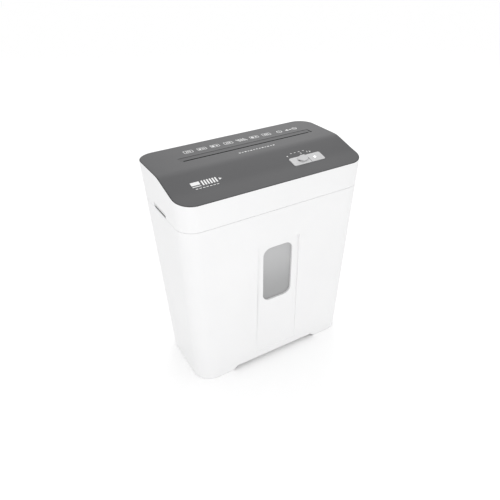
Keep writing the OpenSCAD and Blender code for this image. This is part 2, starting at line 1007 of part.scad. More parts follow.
// Over-temperature switch strapped to the top of the motor
module thermal_cutout() {
    color("black")
    difference() {
        box([-82, -64], [-motor_y - 5, -motor_y + 5],
            [motor_z + motor_r - 1.5, motor_z + motor_r + 4]);
        rod_x(-90, -60, motor_c, motor_r);
    }
}

// ---------------------------------------------------------------- electrics

module control_board() {
    color("darkgreen")
    difference() {
        box([board_box[0], board_box[1]], [board_box[2], board_box[3]], [board_z, board_top]);
        for (p = board_posts)
            post(p, board_z - past, board_top + past, board_hole_r);
    }
}

module board_screws() {
    color("darkgray")
    for (p = board_posts)
        translate([p[0], p[1], board_z])
            screw(board_t + 6, board_hole_r, 2.4, 1.4);
}

module line_capacitor() {
    color("goldenrod")
    box([46, 64], [-37, -28], [board_top, board_top + 12]);
}

module power_relay() {
    color("royalblue")
    box([78, 96], [-38, -31], [board_top, board_top + 12]);
}

module mode_switch() {
    color("black")
    difference() {
        box([switch_c[0] + knob_x - 11, switch_c[0] + knob_x + 11],
            [switch_c[1] - 2.4, switch_c[1] + 6.2], [board_top, board_top + 6]);
        box([switch_c[0] + knob_x - 9.4, switch_c[0] + knob_x + 9.4],
            [switch_c[1] - 0.6, switch_c[1] + 4.4], [board_top + 2, board_top + 7]);
    }
}

module indicator_led() {
    color("orangered")
    translate([switch_c[0] + lens_x, switch_c[1] + 2.1, board_top])
        cylinder(h = 7, r = 2.4);
}

module indicator_lens() {
    color("white", 0.9)
    switch_frame()
        translate([lens_x, 0, -7])
            cylinder(h = 7 + bezel_proud + 0.5, r = 2.2);
}

module switch_bezel() {
    color("silver")
    switch_frame()
        difference() {
            translate([0, 0, -pocket_deep])
                linear_extrude(bezel_t)
                    rounded_rect(bezel_w, bezel_d, 2.5);
            translate([knob_x, 0, -pocket_deep - 1])
                linear_extrude(bezel_t + 2)
                    square([2 * switch_travel + 7.4, 3.4], center = true);
            translate([lens_x, 0, -pocket_deep - 1])
                cylinder(h = bezel_t + 2, r = 2.25);
        }
}

// Half-round thumb grip on a stem, held in by a plate under the cover
module switch_knob() {
    grip_r = 8.7;
    grip_h = 4.6;
    lift = bezel_proud + 0.3;
    color("gainsboro")
    switch_frame()
        translate([knob_x, 0, 0]) {
            difference() {
                translate([0, 4.6, lift])
                    intersection() {
                        cylinder(h = grip_h, r = grip_r);
                        translate([-grip_r, -grip_r, 0])
                            cube([2 * grip_r, grip_r + 1.4, grip_h]);
                    }
                translate([-grip_r, -grip_r, lift + 1.6])
                    rotate([22, 0, 0])
                        cube([2 * grip_r, 14, 10]);
            }
            translate([-3, -1.4, -9])
                cube([6, 2.8, 9 + lift + 0.5]);
            translate([-8, -3.4, -cover_t - 2.4])
                cube([16, 6.8, 1.6]);
        }
}

module feed_sensor() {
    color("black")
    box([lever_x - 6.4, lever_x + 6.4], [40.5, 46.5], [324, 331]);
}

module lever_pin() {
    color("silver")
    rod_x(lever_x - 7, lever_x + 7, lever_c, plunger_r);
}

// Arm that the leading edge of the sheet pushes down and back
module feed_lever() {
    lever_w = 5;
    reach = lever_tip - lever_c;
    length = norm(reach);
    color("white")
    difference() {
        union() {
            rod_x(lever_x - lever_w / 2, lever_x + lever_w / 2, lever_c, 3.2);
            translate([0, lever_c[0], lever_c[1]])
                along_x(lever_x - lever_w / 2, lever_x + lever_w / 2)
                    rotate(atan2(reach[1], reach[0])) {
                        translate([0, -1])
                            square([length, 2]);
                        translate([length, 0])
                            circle(r = 1);
                        translate([-6.5, -1])
                            square([6.5, 2]);
                    }
        }
        rod_x(lever_x - lever_w, lever_x + lever_w, lever_c, plunger_r + running);
    }
}

module bin_switch() {
    color("black")
    difference() {
        box([plunger_c[0] - 10, plunger_c[0] + 10], [plunger_c[1] - 4.6, plunger_c[1] + 1.8],
            [seam_z + 8.2, seam_z + 18]);
        post(plunger_c, seam_z, seam_z + 12, plunger_r + 0.3);
    }
}

// Pin that the rim of the bin pushes up when the head is seated
module interlock_plunger() {
    color("orange")
    union() {
        post(plunger_c, flange_z0 + 0.1, seam_z + 10.5, plunger_r);
        post(plunger_c, seam_z + 5.4, seam_z + 7, 2.5);
    }
}

// Flanged bush for the mains cord in the rear wall
module cord_gland() {
    face = half_d(gland_z);
    color("black")
    translate([gland_x, 0, gland_z])
        rotate([-90, 0, 0])
            difference() {
                union() {
                    translate([0, 0, face - 12])
                        cylinder(h = 13, r = gland_r);
                    translate([0, 0, face + 0.4])
                        cylinder(h = 1.2, r = gland_flange_r);
                    translate([0, 0, face - 5.5])
                        cylinder(h = 2, r = gland_flange_r);
                }
                translate([0, 0, face - 13])
                    cylinder(h = 20, r = gland_bore);
            }
}

// Round wire along a list of corner points, one straight run after another
module wire(points, r) {
    for (i = [0:len(points) - 2])
        let (step = points[i + 1] - points[i])
        translate(points[i])
            rotate([0, acos(step[2] / norm(step)), atan2(step[1], step[0])])
                cylinder(h = norm(step), r = r);
    for (i = [1:len(points) - 2])
        translate(points[i])
            sphere(r = r * 1.1);
}

module motor_leads() {
    lead_z = motor_z + 22.3;
    color("firebrick")
    for (y = [-3, 3])
        wire([[can_x[1] + cap_t, -motor_y + y, lead_z], [41, -motor_y + y, lead_z],
            [41, -motor_y + y, board_top]], 1.1);
}

module supply_lead() {
    run_x = 132;
    run_z = 333.8;
    color("black")
    wire([[gland_x, half_d(gland_z) - 14, gland_z], [gland_x, 62, gland_z], [gland_x, 62, run_z],
        [run_x, 62, run_z], [run_x, -45, run_z], [101, -45, run_z], [101, -45, board_top]], 2);
}

// ---------------------------------------------------------------- fasteners

module housing_screws() {
    color("darkgray")
    for (p = housing_screw_places)
        translate([p[0], p[1], flange_z0 + head_h])
            screw(14, screw_r, head_r, head_h - 0.1);
}

module cover_screws() {
    color("darkgray")
    for (p = cover_screw_places)
        translate([p[0], p[1], tab_z])
            screw(tab_t + 8, screw_r, head_r, head_h);
}

module block_screws() {
    color("darkgray")
    for (p = block_screw_places)
        translate([p[0], p[1], tub_z0])
            screw(wall + foot[2] + 2, screw_r, head_r, head_h);
}

bin_shell();
window_pane();
head_housing();
top_cover();
lower_chassis();
shred_chute();
paper_guide();
gear_plate();
end_plate();
tie_rods();
front_stripper();
rear_stripper();
shaft_bushings();
gear_axles();
gearbox_cover();
motor_can();
motor_end_cap();
motor_magnets();
motor_bushes();
thermal_cutout();
control_board();
line_capacitor();
power_relay();
mode_switch();
indicator_led();
indicator_lens();
switch_bezel();
feed_sensor();
lever_pin();
bin_switch();
cord_gland();
motor_leads();
supply_lead();
housing_screws();
cover_screws();
plate_screws();
motor_screws();
gearbox_screws();
board_screws();
block_screws();
motor_armature();
motor_shaft();
motor_pinion();
motor_fan();
first_gear();
second_gear();
front_cutter_shaft();
front_cutter_discs();
front_spacers();
final_gear();
front_sync_gear();
rear_cutter_shaft();
rear_cutter_discs();
rear_spacers();
rear_sync_gear();
switch_knob();
feed_lever();
interlock_plunger();
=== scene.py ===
import math

import bmesh
import bpy
from mathutils import Matrix, Vector


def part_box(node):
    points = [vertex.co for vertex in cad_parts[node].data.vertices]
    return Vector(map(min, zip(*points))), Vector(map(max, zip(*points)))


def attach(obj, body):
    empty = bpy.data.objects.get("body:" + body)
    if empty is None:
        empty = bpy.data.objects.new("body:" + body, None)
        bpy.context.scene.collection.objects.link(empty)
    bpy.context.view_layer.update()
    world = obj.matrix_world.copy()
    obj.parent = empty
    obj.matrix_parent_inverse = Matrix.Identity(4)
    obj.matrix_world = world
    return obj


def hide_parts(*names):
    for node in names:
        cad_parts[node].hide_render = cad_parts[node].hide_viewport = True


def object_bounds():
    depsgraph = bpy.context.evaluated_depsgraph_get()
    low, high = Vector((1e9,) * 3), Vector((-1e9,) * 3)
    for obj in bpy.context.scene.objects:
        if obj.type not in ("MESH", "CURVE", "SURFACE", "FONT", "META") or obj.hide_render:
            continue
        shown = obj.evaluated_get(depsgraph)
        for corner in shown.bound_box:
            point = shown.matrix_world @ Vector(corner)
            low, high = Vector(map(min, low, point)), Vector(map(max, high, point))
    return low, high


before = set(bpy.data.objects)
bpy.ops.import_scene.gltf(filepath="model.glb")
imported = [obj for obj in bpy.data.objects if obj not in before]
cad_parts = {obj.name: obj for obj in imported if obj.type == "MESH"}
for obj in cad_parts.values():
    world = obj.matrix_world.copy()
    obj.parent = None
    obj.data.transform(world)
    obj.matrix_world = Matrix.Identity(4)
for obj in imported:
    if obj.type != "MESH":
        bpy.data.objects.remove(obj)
cad_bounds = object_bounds()

# Camera: looks down on the front left corner from a little above head height of the shredder,
# with a slight roll and a fairly wide lens.
view_right = Vector((0.8653, -0.5007, -0.0230)).normalized()
view_back = Vector((-0.4093, -0.7324, 0.5441)).normalized()
view_up = view_back.cross(view_right).normalized()
view_right = view_up.cross(view_back)
lens = bpy.data.cameras.new("camera")
lens.lens = 35.41
lens.sensor_width = 36.0
lens.clip_start = 0.01
camera = bpy.data.objects.new("camera", lens)
camera.matrix_world = Matrix.Translation((-0.3421, -0.5993, 0.6250)) @ Matrix(
    (view_right, view_up, view_back)).transposed().to_4x4()
bpy.context.scene.collection.objects.link(camera)
bpy.context.scene.camera = camera
bpy.context.scene.view_settings.view_transform = "Standard"

# Studio: a wide white floor, an even white surround and three large soft lamps: the key low at the
# front left, a weaker fill from the front right and the strongest from behind for the top.
surround = bpy.data.worlds.new("surround")
bpy.context.scene.world = surround
surround.use_nodes = True
surround_light = surround.node_tree.nodes["Background"]
surround_light.inputs["Color"].default_value = (1.0, 1.0, 1.0, 1)
surround_light.inputs["Strength"].default_value = 1.0


def soft_lamp(name, place, aim, size, watts):
    """A round area lamp turned towards a point."""
    lamp = bpy.data.lights.new(name, "AREA")
    lamp.shape = "DISK"
    lamp.size = size
    lamp.energy = watts
    stand = bpy.data.objects.new(name, lamp)
    stand.location = place
    stand.rotation_euler = (Vector(aim) - Vector(place)).to_track_quat("-Z", "Y").to_euler()
    bpy.context.scene.collection.objects.link(stand)


soft_lamp("key_lamp", (-0.62, -1.15, 0.30), (0, 0, 0.18), 0.6, 2.3)
soft_lamp("fill_lamp", (1.5, -0.9, 1.2), (0, 0, 0.2), 1.2, 0.3)
soft_lamp("rear_lamp", (0.9, 1.4, 1.3), (0, 0, 0.3), 1.2, 6)

floor_mesh = bmesh.new()
bmesh.ops.create_grid(floor_mesh, x_segments=1, y_segments=1, size=6)
floor_data = bpy.data.meshes.new("floor")
floor_mesh.to_mesh(floor_data)
floor_mesh.free()
floor = bpy.data.objects.new("floor", floor_data)
floor.location = (0, 0, -0.0002)
bpy.context.scene.collection.objects.link(floor)
floor_paint = bpy.data.materials.new("floor_paint")
floor_paint.use_nodes = True
floor_shader = floor_paint.node_tree.nodes["Principled BSDF"]
floor_shader.inputs["Base Color"].default_value = (1, 1, 1, 1)
floor_shader.inputs["Roughness"].default_value = 0.95
floor_shader.inputs["Specular IOR Level"].default_value = 0.1
floor_data.materials.append(floor_paint)

# ---- Waste bin -----------------------------------------------------------------------------
# Injection moulded tub of white high impact polystyrene, wider and deeper at the top. It has a
# fine spark-eroded skin, a sunk panel in front with the window opening, and two low skids.
rim_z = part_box("bin_shell")[1].z
body_height = cad_bounds[1][2]
foot_size = (0.285, 0.136)
top_size = (0.306, 0.166)
foot_corner, corner_loss = 0.030, 0.003
bin_wall = 0.0025
bin_floor = 0.008


def body_size(z, inset=0.0):
    """Width, depth and corner radius of the body at a height."""
    part = z / body_height
    return (foot_size[0] + (top_size[0] - foot_size[0]) * part - 2 * inset,
            foot_size[1] + (top_size[1] - foot_size[1]) * part - 2 * inset,
            foot_corner - corner_loss * part - inset)


def rounded_face(form, width, depth, radius, z, segments=14):
    """Adds a flat rounded rectangle at a height and returns its face."""
    made = bmesh.ops.create_grid(form, x_segments=1, y_segments=1, size=0.5)["verts"]
    bmesh.ops.scale(form, vec=(width, depth, 1), verts=made)
    bmesh.ops.translate(form, vec=(0, 0, z), verts=made)
    before = set(form.faces)
    bmesh.ops.bevel(form, geom=made, offset=radius, offset_type="OFFSET", affect="VERTICES",
                    segments=segments, profile=0.5, material=-1)
    return max(form.faces, key=lambda f: (f not in before, len(f.verts)))


def tapered_block(low, high, inset):
    """The body's own tapered shape between two heights, as a closed block."""
    form = bmesh.new()
    for z in (low, high):
        rounded_face(form, *body_size(z, inset), z)
    bmesh.ops.bridge_loops(form, edges=form.edges[:])
    bmesh.ops.recalc_face_normals(form, faces=form.faces[:])
    return form


def box_block(low, high):
    """A plain block between two corners, used for cutting."""
    form = bmesh.new()
    bmesh.ops.create_cube(form, size=1)
    bmesh.ops.scale(form, vec=[b - a for a, b in zip(low, high)], verts=form.verts)
    bmesh.ops.translate(form, vec=[(a + b) / 2 for a, b in zip(low, high)], verts=form.verts)
    return form


def as_piece(name, form):
    """Turns a finished form into an object in the scene."""
    data = bpy.data.meshes.new(name)
    form.to_mesh(data)
    form.free()
    piece = bpy.data.objects.new(name, data)
    bpy.context.scene.collection.objects.link(piece)
    return piece


def as_form(piece):
    """Takes an object out of the scene and gives its shape back as a form."""
    form = bmesh.new()
    form.from_mesh(piece.data)
    bpy.data.objects.remove(piece)
    return form


def carve(piece, form, operation="DIFFERENCE"):
    """Cuts a form out of a piece, or joins it on."""
    tool = as_piece("tool", form)
    step = piece.modifiers.new("carve", "BOOLEAN")
    step.operation = operation
    step.solver = "EXACT"
    step.object = tool
    graph = bpy.context.evaluated_depsgraph_get()
    cut_mesh = bpy.data.meshes.new_from_object(piece.evaluated_get(graph))
    piece.modifiers.clear()
    old_mesh, tool_mesh = piece.data, tool.data
    name = old_mesh.name
    piece.data = cut_mesh
    bpy.data.meshes.remove(old_mesh)
    cut_mesh.name = name
    bpy.data.objects.remove(tool)
    bpy.data.meshes.remove(tool_mesh)


def soften(piece, radius, segments=2, angle=32):
    """Gives a moulded piece its small edge radius and smooth shading."""
    for face in piece.data.polygons:
        face.use_smooth = True
    piece.data.set_sharp_from_angle(angle=math.radians(angle))
    edge = piece.modifiers.new("edge_radius", "BEVEL")
    edge.width = radius
    edge.segments = segments
    edge.limit_method = "ANGLE"
    edge.angle_limit = math.radians(angle)
    edge.harden_normals = True
    edge.use_clamp_overlap = True
    edge.miter_outer = "MITER_ARC"


def moulded_plastic(name, colour, roughness, grain, depth, mottle=0.03, sheen=0.5):
    """Moulded plastic with a fine eroded grain, faint flow clouds and a soft gloss."""
    material = bpy.data.materials.new(name)
    material.use_nodes = True
    nodes, links = material.node_tree.nodes, material.node_tree.links
    shader = nodes["Principled BSDF"]
    shader.inputs["Specular IOR Level"].default_value = sheen
    place = nodes.new("ShaderNodeTexCoord")
    clouds = nodes.new("ShaderNodeTexNoise")
    clouds.inputs["Scale"].default_value = 9
    clouds.inputs["Detail"].default_value = 4
    tint = nodes.new("ShaderNodeValToRGB")
    tint.color_ramp.elements[0].position = 0.3
    tint.color_ramp.elements[1].position = 0.7
    tint.color_ramp.elements[0].color = (*[c * (1 - mottle) for c in colour], 1)
    tint.color_ramp.elements[1].color = (*[min(1, c * (1 + mottle)) for c in colour], 1)
    skin = nodes.new("ShaderNodeTexNoise")
    skin.inputs["Scale"].default_value = grain
    skin.inputs["Detail"].default_value = 3
    gloss = nodes.new("ShaderNodeMapRange")
    gloss.inputs["To Min"].default_value = roughness - 0.05
    gloss.inputs["To Max"].default_value = roughness + 0.06
    relief = nodes.new("ShaderNodeBump")
    relief.inputs["Strength"].default_value = 0.5
    relief.inputs["Distance"].default_value = depth
    links.new(place.outputs["Object"], clouds.inputs["Vector"])
    links.new(place.outputs["Object"], skin.inputs["Vector"])
    links.new(clouds.outputs["Fac"], tint.inputs["Fac"])
    links.new(tint.outputs["Color"], shader.inputs["Base Color"])
    links.new(skin.outputs["Fac"], gloss.inputs["Value"])
    links.new(gloss.outputs["Result"], shader.inputs["Roughness"])
    links.new(skin.outputs["Fac"], relief.inputs["Height"])
    links.new(relief.outputs["Normal"], shader.inputs["Normal"])
    return material


housing_white = moulded_plastic("housing_white", (0.79, 0.79, 0.793), 0.45, 1500, 0.00006,
                                0.012, 0.35)

bin_tub = as_piece("bin_tub", tapered_block(0, rim_z, 0))
carve(bin_tub, tapered_block(bin_floor + bin_wall, rim_z + 0.01, bin_wall))
carve(bin_tub, tapered_block(-0.01, bin_floor, bin_wall))

# ledge inside the rim that carries the cutting head
ledge_z = (0.286, 0.2895)
ledge_reach = 0.004
ledge_ring = as_piece("ledge_ring", tapered_block(*ledge_z, bin_wall - 0.0001))
carve(ledge_ring, tapered_block(0.28, 0.30, bin_wall + ledge_reach))
carve(bin_tub, as_form(ledge_ring), "UNION")

# sunk front panel: it dies out towards the bottom and is deepest at the top
panel_half = 0.040
panel_z = (0.020, 0.237)
panel_depth = (0.0005, 0.0030)
side_splay, end_splay = 1.4, 0.5


def front_block(half, low, high, near, far, splayed=False):
    """An upright block that follows the leaning front wall, between two depths behind it.

    Each depth is a pair, for the bottom and the top. A splayed block narrows as it goes in."""
    form = box_block((-half, 0, low), (half, 1, high))
    for corner in form.verts:
        level = 0 if corner.co.z < (low + high) / 2 else 1
        depth = (near if corner.co.y < 0.5 else far)[level]
        corner.co.y = -body_size(corner.co.z)[1] / 2 + depth
        if splayed:
            corner.co.x -= math.copysign(depth * side_splay, corner.co.x)
            corner.co.z += depth * (-end_splay if level else end_splay)
    return form


carve(bin_tub, front_block(panel_half + bin_wall, panel_z[0] - bin_wall, panel_z[1] + bin_wall,
                           (0.001, 0.001), (panel_depth[0] + bin_wall, panel_depth[1] + bin_wall)),
      "UNION")

# thick collar behind the panel, which gives the window its deep wall
window_size = (0.052, 0.1005)
window_middle = 0.17675
window_corner = 0.013
collar = 0.0035
collar_margin = 0.007


def upright_plug(margin, low_y, high_y):
    """A rounded block lying along Y through the window, larger than it by a margin all round."""
    width, height = window_size
    form = bmesh.new()
    for y in (low_y, high_y):
        rounded_face(form, width + 2 * margin, height + 2 * margin, window_corner + margin, y, 10)
    bmesh.ops.bridge_loops(form, edges=form.edges[:])
    turn = Matrix.Rotation(math.radians(90), 3, "X")
    bmesh.ops.rotate(form, cent=(0, 0, 0), matrix=turn, verts=form.verts)
    bmesh.ops.scale(form, vec=(1, -1, 1), verts=form.verts)
    bmesh.ops.translate(form, vec=(0, 0, window_middle), verts=form.verts)
    bmesh.ops.recalc_face_normals(form, faces=form.faces[:])
    return form


collar_block = as_piece("collar_block", upright_plug(collar_margin, -0.12, 0))
carve(collar_block, front_block(0.06, *panel_z, (0.0013, 0.0013),
                                (panel_depth[0] + collar, panel_depth[1] + collar)), "INTERSECT")
carve(bin_tub, as_form(collar_block), "UNION")
carve(bin_tub, front_block(panel_half, *panel_z, (-0.002, -0.002), panel_depth, True))
carve(bin_tub, upright_plug(0, -0.12, -0.02))

# shallow arches between the skids, front and back
arch_foot, arch_crown, arch_rise = 0.086, 0.075, 0.0074
arch = box_block((-arch_foot, -0.12, -0.002), (arch_foot, 0.12, arch_rise))
for corner in arch.verts:
    if corner.co.z > 0:
        corner.co.x *= arch_crown / arch_foot
carve(bin_tub, arch)
soften(bin_tub, 0.0006, 3)
bin_tub.data.materials.clear()
bin_tub.data.materials.append(housing_white)
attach(bin_tub, "bin")
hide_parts("bin_shell")

# ---- Window --------------------------------------------------------------------------------
# Pane of smoke grey polystyrene with a frosted back, glued behind the collar. Its front is
# smooth and its edge is rounded where it lies against the collar.
pane_thick = 0.0016
pane_front = [depth + collar for depth in panel_depth]
window_pane = as_piece("window_glaze", upright_plug(0.005, -0.12, 0))
carve(window_pane, front_block(0.06, *panel_z, pane_front,
                               [depth + pane_thick for depth in pane_front]), "INTERSECT")
soften(window_pane, 0.0003, 2)
frosted_grey = moulded_plastic("frosted_grey", (0.405, 0.407, 0.41), 0.36, 900, 0.00005, 0.05)
frosted_grey.node_tree.nodes["Principled BSDF"].inputs["Transmission Weight"].default_value = 0.12


def shade_by_height(material, low, high, low_tint, high_tint, change="SMOOTHSTEP"):
    """Paints light and shade into the colour: multiplies it by a tint that changes between two
    heights.
    """
    nodes, links = material.node_tree.nodes, material.node_tree.links
    shader = nodes["Principled BSDF"]
    place = nodes.new("ShaderNodeTexCoord")
    split = nodes.new("ShaderNodeSeparateXYZ")
    level = nodes.new("ShaderNodeMapRange")
    level.interpolation_type = change
    level.inputs["From Min"].default_value = low
    level.inputs["From Max"].default_value = high
    level.inputs["To Min"].default_value = low_tint
    level.inputs["To Max"].default_value = high_tint
    shade = nodes.new("ShaderNodeVectorMath")
    shade.operation = "SCALE"
    links.new(place.outputs["Object"], split.inputs["Vector"])
    links.new(split.outputs["Z"], level.inputs["Value"])
    links.new(shader.inputs["Base Color"].links[0].from_socket, shade.inputs[0])
    links.new(level.outputs["Result"], shade.inputs["Scale"])
    links.new(shade.outputs["Vector"], shader.inputs["Base Color"])


# painted light and shade: the pane's grey is darkened towards its foot and lightened towards its
# top
shade_by_height(frosted_grey, 0.135, 0.222, 0.92, 1.22)
window_pane.data.materials.append(frosted_grey)
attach(window_pane, "bin")
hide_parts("window_pane")

# ---- Head housing --------------------------------------------------------------------------
# White upper shell in the same plastic as the bin. Its side walls carry on the bin's taper, its
# top edge follows the bend of the cover, and each end has a finger grip under a straight edge.
seam_gap = 0.0004
cover_thick = 0.0025
flat_z = body_height
steep, easy = math.radians(15.5), math.radians(10)
bend_y, slope_y, lip_y = -0.015, -0.044, -0.060
bend_radius = -bend_y / math.sin(steep)
ease_radius = 0.016 / (math.sin(steep) - math.sin(easy))


def top_height(y):
    """Height of the top surface: flat behind, then a bend, a slope and an easier lip."""
    if y >= 0:
        return flat_z
    if y >= bend_y:
        return flat_z - bend_radius + math.sqrt(bend_radius ** 2 - y ** 2)
    bend_end = flat_z - bend_radius * (1 - math.cos(steep))
    if y >= slope_y:
        return bend_end + (y - bend_y) * math.tan(steep)
    slope_end = bend_end - 0.029 * math.tan(steep)
    centre_y = slope_y - ease_radius * math.sin(steep)
    centre_z = slope_end + ease_radius * math.cos(steep)
    if y >= lip_y:
        return centre_z - math.sqrt(ease_radius ** 2 - (y - centre_y) ** 2)
    lip_start = centre_z - math.sqrt(ease_radius ** 2 - (lip_y - centre_y) ** 2)
    return lip_start + (y - lip_y) * math.tan(easy)


def bent_block(low, drop, inset, thick=0.0):
    """The body's shape with its top bent to the cover's line, lowered by a drop.

    Where a thickness is given, the underside follows the top at that distance."""
    form = tapered_block(low, flat_z, inset)
    for y in (0.0, -0.0025, -0.005, -0.0075, -0.010, -0.0125, bend_y, -0.030, slope_y,
              -0.0467, -0.0493, -0.052, -0.0547, -0.0573, lip_y):
        bmesh.ops.bisect_plane(form, geom=form.verts[:] + form.edges[:] + form.faces[:],
                               plane_co=(0, y, 0), plane_no=(0, 1, 0), dist=1e-7)
    for point in form.verts:
        upper = point.co.z > flat_z - 1e-5
        if not upper and not thick:
            continue
        below = 0 if upper else thick
        here = body_size(top_height(point.co.y) - drop - below, inset)
        full = body_size(point.co.z, inset)
        point.co.x *= here[0] / full[0]
        point.co.y *= here[1] / full[1]
        point.co.z = top_height(point.co.y) - drop - below
    return form


head_shell = as_piece("head_shell", bent_block(rim_z + seam_gap, 0.0002, 0))
carve(head_shell, tapered_block(rim_z - 0.01, flat_z + 0.01, bin_wall))
carve(head_shell, bent_block(flat_z - 0.004, -0.003, 0.0005, 0.0043))
seam_half = body_size(rim_z)[0] / 2
grip_y = (-0.021, 0.022)
grip_top, slit_top = 0.302, rim_z + 0.0016
scoop_depth, slit_depth, grip_wall = 0.0015, 0.008, 0.0016
scoop_lean = 0.0019


def grip_block(side, grow):
    """A finger grip's hollow at one end: a sloping scoop with a deep slit under it."""
    scoop = box_block((seam_half - scoop_depth - grow, grip_y[0] - grow, slit_top - 0.0005),
                      (seam_half + 0.008, grip_y[1] + grow, grip_top + grow))
    for corner in scoop.verts:
        if corner.co.x < seam_half and corner.co.z > slit_top:
            corner.co.x += scoop_lean
    slit = box_block((seam_half - slit_depth - grow, grip_y[0] - grow, rim_z - 0.001),
                     (seam_half + 0.008, grip_y[1] + grow, slit_top + grow))
    scoop_piece = as_piece("scoop", scoop)
    carve(scoop_piece, slit, "UNION")
    form = as_form(scoop_piece)
    bmesh.ops.scale(form, vec=(side, 1, 1), verts=form.verts)
    bmesh.ops.recalc_face_normals(form, faces=form.faces[:])
    return form


for side in (-1, 1):
    outer = as_piece("outer", grip_block(side, grip_wall))
    carve(outer, tapered_block(rim_z + seam_gap, grip_top + 0.003, 0.001), "INTERSECT")
    carve(head_shell, as_form(outer), "UNION")
    carve(head_shell, grip_block(side, 0))
gland_low, gland_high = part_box("cord_gland")
gland_x, gland_z = (gland_low.x + gland_high.x) / 2, (gland_low.z + gland_high.z) / 2
gland_radius = 0.007
bore = bmesh.new()
bmesh.ops.create_cone(bore, cap_ends=True, segments=48, radius1=gland_radius,
                      radius2=gland_radius, depth=0.04)
bmesh.ops.rotate(bore, cent=(0, 0, 0), matrix=Matrix.Rotation(math.radians(90), 3, "X"),
                 verts=bore.verts)
bmesh.ops.translate(bore, vec=(gland_x, 0.08, gland_z), verts=bore.verts)
carve(head_shell, bore)

# hollow bosses for the screws that hold the chassis, and the tabs the cover is screwed to
head_radius = 0.0028
boss_top = 0.312
tab_z = (0.322, 0.325)
screw_low, screw_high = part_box("housing_screws")


def standing_tube(place, low, high, radius, hole):
    """An upright boss with a pilot hole right through it."""
    form = bmesh.new()
    corners = [form.verts.new((x, 0, z)) for x, z in ((hole, low), (radius, low),
                                                      (radius, high), (hole, high))]
    wall = [form.edges.new(pair) for pair in zip(corners, corners[1:] + corners[:1])]
    bmesh.ops.spin(form, geom=corners + wall, cent=(0, 0, 0), axis=(0, 0, 1), angle=math.tau,
                   steps=32, use_merge=True)
    bmesh.ops.translate(form, vec=(*place, 0), verts=form.verts)
    bmesh.ops.recalc_face_normals(form, faces=form.faces[:])
    return form


for x in (-0.118, 0, 0.118):
    for y in (screw_low.y + head_radius, screw_high.y - head_radius):
        carve(head_shell, standing_tube((x, y), rim_z + seam_gap, boss_top, 0.004, 0.0015),
              "UNION")
tab_low, tab_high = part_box("cover_screws")
for side in (-1, 1):
    for y in (tab_low.y + head_radius, tab_high.y - head_radius):
        tab_x = sorted((side * 0.136, side * 0.1502))
        carve(head_shell, box_block((tab_x[0], y - 0.006, tab_z[0]),
                                    (tab_x[1], y + 0.006, tab_z[1])), "UNION")
soften(head_shell, 0.0005, 3)
head_shell.data.materials.clear()
# the scoops' faces take a greyer white, darkest at their foot: painted shade standing in for the
# shade in the scoops
scoop_painted_shade_white = housing_white.copy()
scoop_painted_shade_white.name = "scoop_painted_shade_white"
shade_by_height(scoop_painted_shade_white, slit_top, grip_top, 0.62, 1.0, "LINEAR")
head_shell.data.materials.append(housing_white)
head_shell.data.materials.append(scoop_painted_shade_white)
for face in head_shell.data.polygons:
    middle = face.center
    sunk = body_size(middle.z)[0] / 2 - abs(middle.x)
    if (0.00008 < sunk < scoop_depth and grip_y[0] - 0.0001 < middle.y < grip_y[1] + 0.0001
            and slit_top - 0.0005 < middle.z < grip_top + 0.0002):
        face.material_index = 1
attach(head_shell, "head")
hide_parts("head_housing")

# ---- Grip shade strips ---------------------------------------------------------------------
# Black strips on the chassis flange, which close the finger grips from below; their black is
# painted shade, put where the grips' slits lie in shade.
# plain black for dark sheets put where slits and gaps lie in shade: painted shade
shade_sheet_black = moulded_plastic("shade_sheet_black", (0.016, 0.016, 0.017), 0.6, 1600, 0.00004, 0.1, 0.3)
for name, side in (("grip_strip_left", -1), ("grip_strip_right", 1)):
    ends = sorted((side * (seam_half - slit_depth + 0.0001), side * (seam_half - 0.0012)))
    grip_shade_strip = as_piece(name, box_block((ends[0], grip_y[0] + 0.0001, rim_z + 0.0005),
                                          (ends[1], grip_y[1] - 0.0001, rim_z + 0.0009)))
    soften(grip_shade_strip, 0.0002, 2)
    grip_shade_strip.data.materials.clear()
    grip_shade_strip.data.materials.append(shade_sheet_black)
    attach(grip_shade_strip, "head")

# ---- Cover shade ring ----------------------------------------------------------------------
# Thin black ring between the cover's edge and the white shell, seen as a dark line all round:
# painted shade, a dark sheet put where the gap lies in shade.
cover_shade_ring = as_piece("cover_shade_ring", bent_block(flat_z - 0.004, 0.0003, 0.0006, 0.0009))
carve(cover_shade_ring, tapered_block(flat_z - 0.06, flat_z + 0.01, 0.0027))
soften(cover_shade_ring, 0.0002, 2)
cover_shade_ring.data.materials.clear()
cover_shade_ring.data.materials.append(shade_sheet_black)
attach(cover_shade_ring, "head")

# ---- Cover ---------------------------------------------------------------------------------
# Mid grey moulded cover with a satin eroded skin, let into the top of the white shell. It has
# the paper slot with a sloping trough behind it and a pocket for the switch plate.
cover_plate = as_piece("cover_plate", bent_block(flat_z - 0.004, 0, 0.0016, 0.0006))
carve(cover_plate, bent_block(flat_z - 0.004, 0.0004, 0.0029, cover_thick - 0.0004), "UNION")
slot_x = (-0.0985, 0.1215)
slot_y = (0.0220, 0.0266)
land = box_block((slot_x[0] - 0.008, slot_y[0] - 0.004, 0.344),
                 (slot_x[1] + 0.008, slot_y[1] + 0.012, flat_z - 0.001))
carve(cover_plate, land, "UNION")
trough = box_block((slot_x[0] - 0.005, slot_y[0], 0.3488),
                   (slot_x[1] + 0.005, slot_y[1] + 0.0096, 0.36))
bmesh.ops.bisect_plane(trough, geom=trough.verts[:] + trough.edges[:] + trough.faces[:],
                       plane_co=(0, slot_y[1], 0), plane_no=(0, 1, 0))
for corner in trough.verts:
    if corner.co.z < 0.35 and corner.co.y > slot_y[1] + 0.005:
        corner.co.z = 0.3496
carve(cover_plate, trough)
carve(cover_plate, box_block((slot_x[0], slot_y[0], 0.33), (slot_x[1], slot_y[1], 0.36)))

